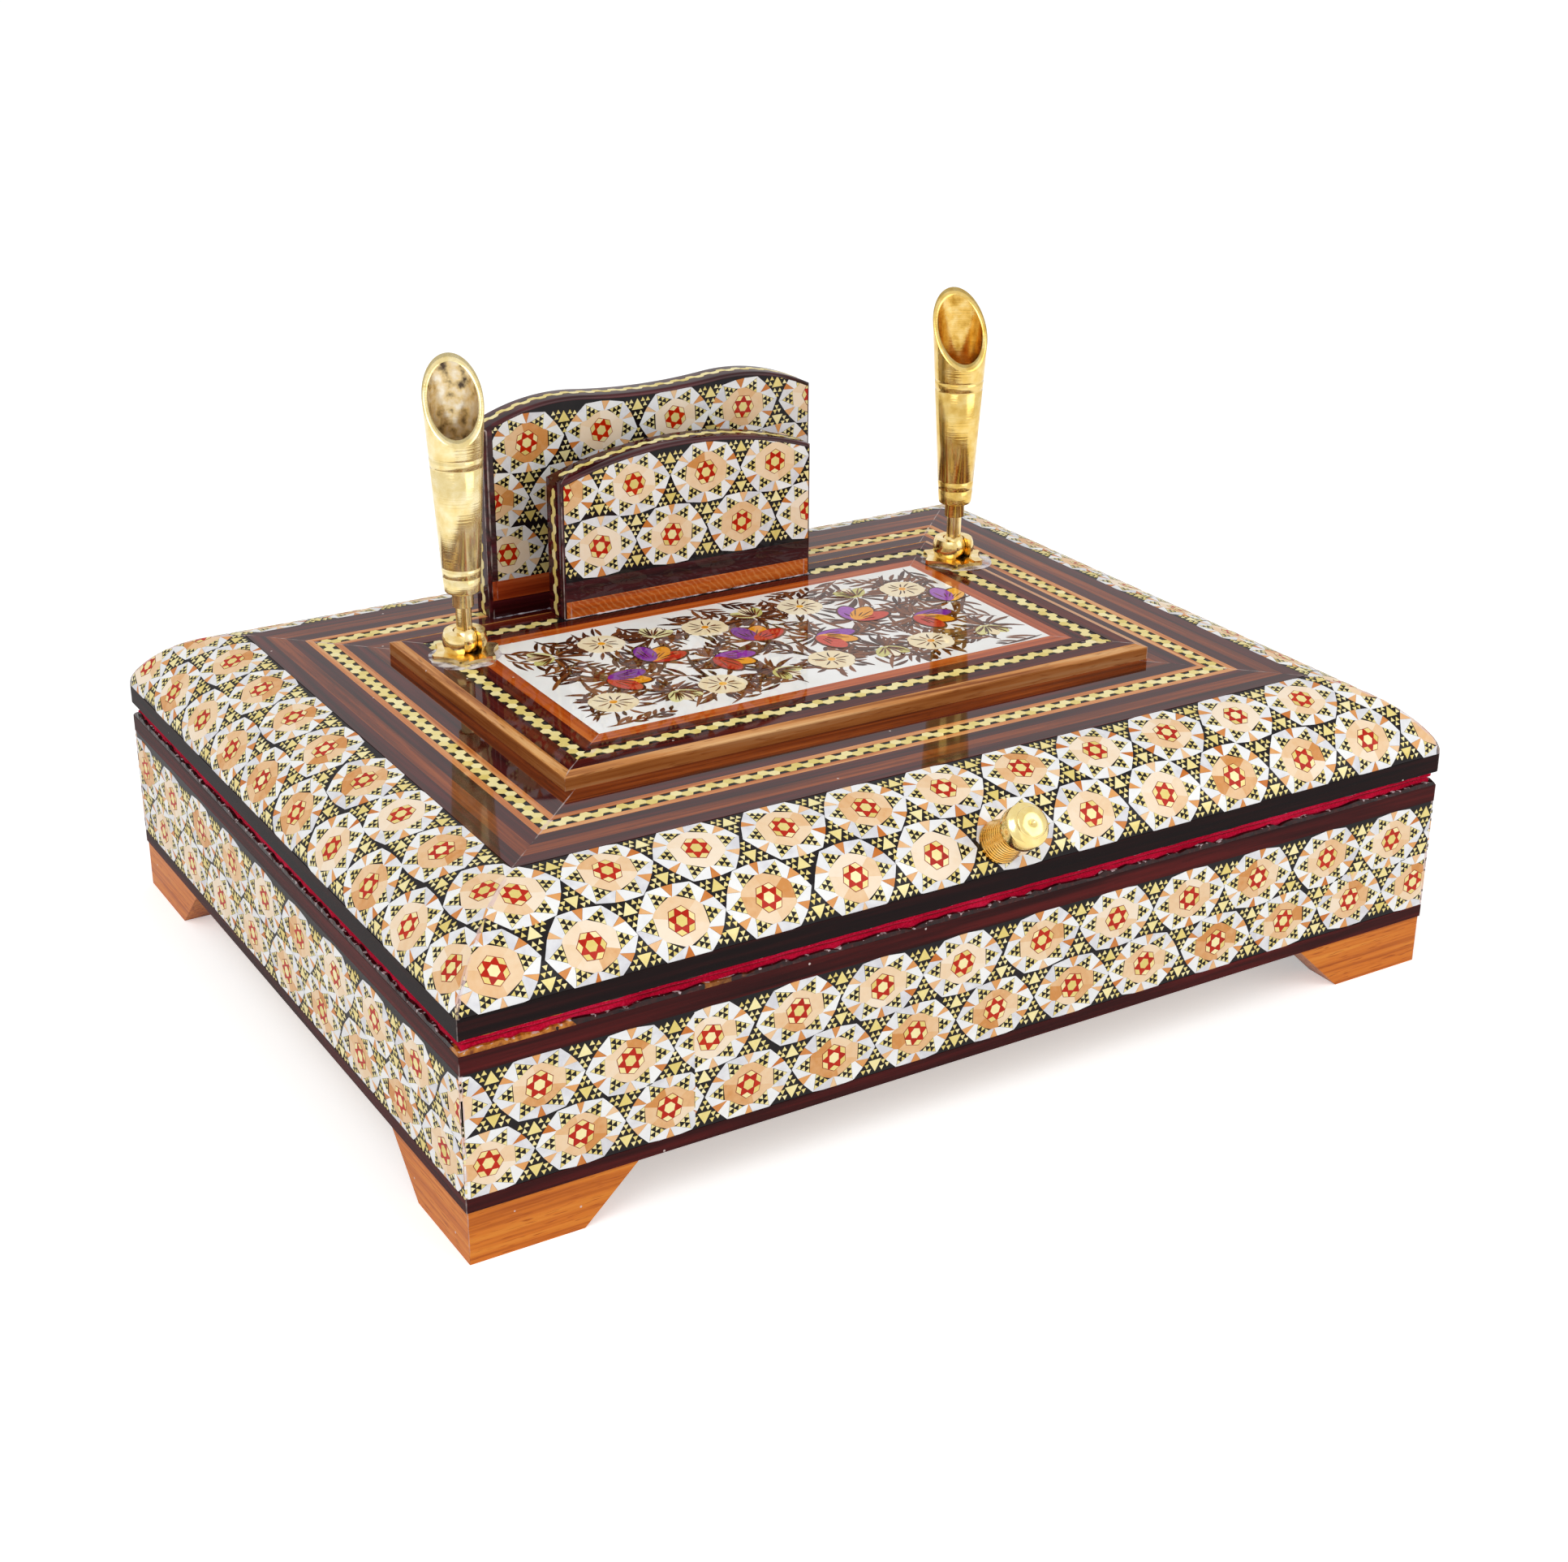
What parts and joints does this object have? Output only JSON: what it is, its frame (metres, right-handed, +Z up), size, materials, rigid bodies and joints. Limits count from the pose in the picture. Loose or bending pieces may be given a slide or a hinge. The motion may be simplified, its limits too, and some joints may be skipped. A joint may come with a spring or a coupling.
{
  "type": "inlaid desk box with pen holders",
  "caption": "Hinged wooden desk box veneered in star mosaic, with a painted plinth panel, a card holder, two brass swivel pen funnels and a turned knob.",
  "frame": {"origin": "on the table, under the middle of the whole outline from knob to hinge barrels", "axes": "+X to the right along the width, +Y to the back, where the hinges are, +Z up; the front with the knob faces -Y"},
  "size_m": [0.25, 0.21, 0.144],
  "materials": {
    "khatam": "star mosaic of bone, dyed wood and brass chips under gloss lacquer",
    "braid": "black and gold braid and zigzag lines under gloss lacquer",
    "dark_veneer": "dark red-brown rosewood under gloss lacquer",
    "brown_veneer": "streaked brown walnut under gloss lacquer",
    "orange_wood": "orange wood, lacquered",
    "carcass_wood": "plain pale wood, unseen under veneers and velvet",
    "velvet": "crimson velvet",
    "painted_panel": "white ground with painted flowers under gloss lacquer",
    "brass": "polished brass with fine turning lines"
  },
  "bodies": {
    "box": {"front_wall": "carcass_wood", "right_wall": "carcass_wood", "back_wall": "carcass_wood", "left_wall": "carcass_wood", "bottom_panel": "carcass_wood", "khatam_front": "khatam", "khatam_right": "khatam", "khatam_back": "khatam", "khatam_left": "khatam", "upper_edging": "dark_veneer", "lower_edging": "dark_veneer", "rim_velvet": "velvet", "wall_lining": "velvet", "floor_lining": "velvet", "foot_front_left": "orange_wood", "foot_front_right": "orange_wood", "foot_back_left": "orange_wood", "foot_back_right": "orange_wood", "hinge_box_leaves": "brass", "hinge_pins": "brass"},
    "lid": {"lid_front_rail": "carcass_wood", "lid_right_rail": "carcass_wood", "lid_back_rail": "carcass_wood", "lid_left_rail": "carcass_wood", "lid_panel": "carcass_wood", "khatam_lid_front": "khatam", "khatam_lid_right": "khatam", "khatam_lid_back": "khatam", "khatam_lid_left": "khatam", "lid_edging": "dark_veneer", "top_dark_bands": "dark_veneer", "top_brown_bands": "brown_veneer", "top_orange_lines": "orange_wood", "top_braid": "braid", "lid_rim_velvet": "velvet", "lid_lining": "velvet", "hinge_lid_leaves": "brass", "plinth_board": "carcass_wood", "plinth_lipping": "orange_wood", "plinth_dark_bands": "dark_veneer", "plinth_zigzag": "braid", "picture_frame": "orange_wood", "picture_panel": "painted_panel", "card_front_plate": "dark_veneer", "card_front_khatam": "khatam", "card_front_strip": "orange_wood", "card_rear_plate": "dark_veneer", "card_rear_khatam": "khatam", "card_rear_strip": "orange_wood", "left_pen_base": "brass", "right_pen_base": "brass", "knob": "brass"},
    "left_ball": {"left_ball_stem": "brass"},
    "right_ball": {"right_ball_stem": "brass"},
    "left_pen": {"left_funnel": "brass"},
    "right_pen": {"right_funnel": "brass"}
  },
  "joints": [
    {"name": "lid_hinge", "type": "hinge", "parent": "box", "child": "lid", "pos_m": [0, 0.10345, 0.0482], "axis": [-1, 0, 0], "range_deg": [0, 100]},
    {"name": "left_tilt", "type": "hinge", "parent": "lid", "child": "left_ball", "pos_m": [-0.0654, 0.03085, 0.0782], "axis": [1, 0, 0], "range_deg": [-10, 65]},
    {"name": "right_tilt", "type": "hinge", "parent": "lid", "child": "right_ball", "pos_m": [0.0728, 0.03085, 0.0782], "axis": [1, 0, 0], "range_deg": [-10, 65]},
    {"name": "left_turn", "type": "hinge", "parent": "left_ball", "child": "left_pen", "pos_m": [-0.0654, 0.03085, 0.08645], "axis": [0, 0, 1], "continuous": true},
    {"name": "right_turn", "type": "hinge", "parent": "right_ball", "child": "right_pen", "pos_m": [0.0728, 0.03085, 0.08645], "axis": [0, 0, 1], "continuous": true}
  ]
}
